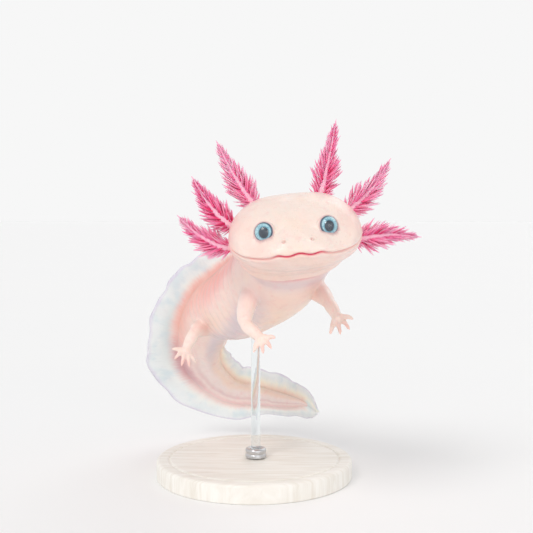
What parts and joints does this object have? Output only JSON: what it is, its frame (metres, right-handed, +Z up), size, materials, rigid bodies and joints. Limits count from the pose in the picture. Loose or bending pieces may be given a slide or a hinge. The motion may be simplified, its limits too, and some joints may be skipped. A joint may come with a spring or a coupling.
{
  "type": "leucistic axolotl display model",
  "caption": "Life-size still model of a young leucistic axolotl with feathery pink gills and a broad tail fin, swimming over a round base with a clear rod under its belly",
  "frame": {"origin": "middle of the stand base's underside, on the floor", "axes": "+Z up; the snout points to -Y; +X is the animal's left at the head; the tail curls round towards +X under the trunk"},
  "size_m": [0.089, 0.122, 0.1132],
  "materials": {
    "skin": "moist satin, pale pink",
    "gill": "moist satin, crimson pink",
    "fin": "moist satin, translucent bluish white",
    "eye": "gloss, pale blue iris and dark pupil",
    "stand_base": "satin, off-white",
    "stand_rod": "gloss, clear acrylic",
    "stand_metal": "satin"
  },
  "bodies": {
    "root": {"dorsal_fin_back": "fin", "dorsal_fin_hips": "fin", "dorsal_fin_tail": "fin", "dorsal_fin_tip": "fin", "eye_left": "eye", "eye_right": "eye", "foreleg_left_foot": "skin", "foreleg_left_lower": "skin", "foreleg_left_upper": "skin", "foreleg_right_foot": "skin", "foreleg_right_lower": "skin", "foreleg_right_upper": "skin", "gill_left_lower": "gill", "gill_left_middle": "gill", "gill_left_upper": "gill", "gill_right_lower": "gill", "gill_right_middle": "gill", "gill_right_upper": "gill", "head": "skin", "hindleg_left_foot": "skin", "hindleg_left_lower": "skin", "hindleg_left_upper": "skin", "hindleg_right_foot": "skin", "hindleg_right_lower": "skin", "hindleg_right_upper": "skin", "hips": "skin", "lower_jaw": "skin", "neck": "skin", "shoulders": "skin", "stand_base": "stand_base", "stand_ferrule": "stand_metal", "stand_rod": "stand_rod", "tail_end": "skin", "tail_middle": "skin", "tail_root": "skin", "trunk": "skin", "ventral_fin_tail": "fin", "ventral_fin_tip": "fin"}
  },
  "joints": []
}
